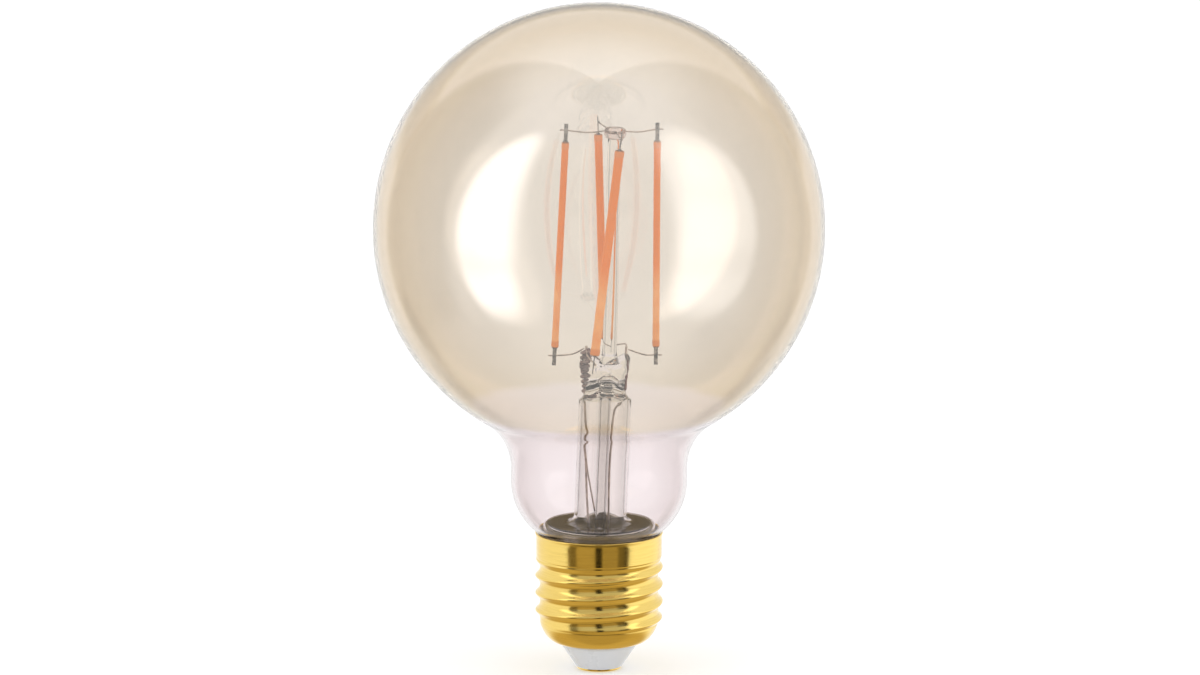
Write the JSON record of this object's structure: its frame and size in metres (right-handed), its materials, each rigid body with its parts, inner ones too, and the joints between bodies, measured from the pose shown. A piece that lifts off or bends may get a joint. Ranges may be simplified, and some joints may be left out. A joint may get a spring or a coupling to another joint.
{
  "type": "led filament globe bulb",
  "caption": "Amber glass globe bulb with upright LED filaments on a glass stem and an E27 screw cap.",
  "frame": {"origin": "centre of the centre contact's flat face, at the foot of the screw cap", "axes": "+Z along the bulb's axis, from the cap to the top of the globe; -Y faces the viewer, +X to the viewer's right"},
  "size_m": [0.093, 0.093, 0.1388],
  "materials": {
    "amber_glass": "polished, amber coating on the globe that ends above a clear neck",
    "stem_glass": "fire polished, clear",
    "cap_brass": "bright gold plating",
    "contact_brass": "bright gold plating",
    "white_insulator": "satin white",
    "cap_cement": "matt, hard",
    "nickel_wire": "drawn, dull",
    "seal_copper": "oxidised copper sheath",
    "tinned_copper": "tinned over copper",
    "phosphor_silicone": "soft silicone filled with phosphor",
    "strip_ceramic": "fired ceramic",
    "led_die": "sawn crystal",
    "plated_steel": "rolled and plated",
    "sleeve_film": "translucent insulating film",
    "board_laminate": "bonded laminate",
    "black_epoxy": "moulded epoxy",
    "capacitor_sleeve": "shrunk sleeve",
    "ferrite": "sintered",
    "resistor_body": "enamelled",
    "radio_board": "masked board with a shield"
  },
  "bodies": {
    "root": {"glass_envelope": "amber_glass", "cap_shell": "cap_brass", "cap_insulator": "white_insulator", "centre_contact": "contact_brass", "cap_cement": "cap_cement", "stem_flare": "stem_glass", "stem_press": "stem_glass", "exhaust_tube": "stem_glass", "support_rod": "stem_glass", "rod_button": "stem_glass", "inner_lead_left": "nickel_wire", "inner_lead_right": "nickel_wire", "seal_wire_left": "seal_copper", "seal_wire_right": "seal_copper", "outer_lead_left": "tinned_copper", "outer_lead_right": "tinned_copper", "driver_sleeve": "sleeve_film", "driver_board": "board_laminate", "bridge_rectifier": "black_epoxy", "driver_chip": "black_epoxy", "smoothing_capacitor": "capacitor_sleeve", "choke": "ferrite", "fuse_resistor": "resistor_body", "radio_module": "radio_board", "shell_wire": "tinned_copper", "contact_wire": "tinned_copper", "upper_wire_left": "nickel_wire", "lower_wire_left": "nickel_wire", "left_coat": "phosphor_silicone", "left_strip": "strip_ceramic", "left_dice": "led_die", "left_upper_terminal": "plated_steel", "left_lower_terminal": "plated_steel", "upper_wire_right": "nickel_wire", "lower_wire_right": "nickel_wire", "right_coat": "phosphor_silicone", "right_strip": "strip_ceramic", "right_dice": "led_die", "right_upper_terminal": "plated_steel", "right_lower_terminal": "plated_steel", "upper_wire_front": "nickel_wire", "lower_wire_front": "nickel_wire", "front_coat": "phosphor_silicone", "front_strip": "strip_ceramic", "front_dice": "led_die", "front_upper_terminal": "plated_steel", "front_lower_terminal": "plated_steel", "upper_wire_back": "nickel_wire", "lower_wire_back": "nickel_wire", "back_coat": "phosphor_silicone", "back_strip": "strip_ceramic", "back_dice": "led_die", "back_upper_terminal": "plated_steel", "back_lower_terminal": "plated_steel"}
  },
  "joints": []
}
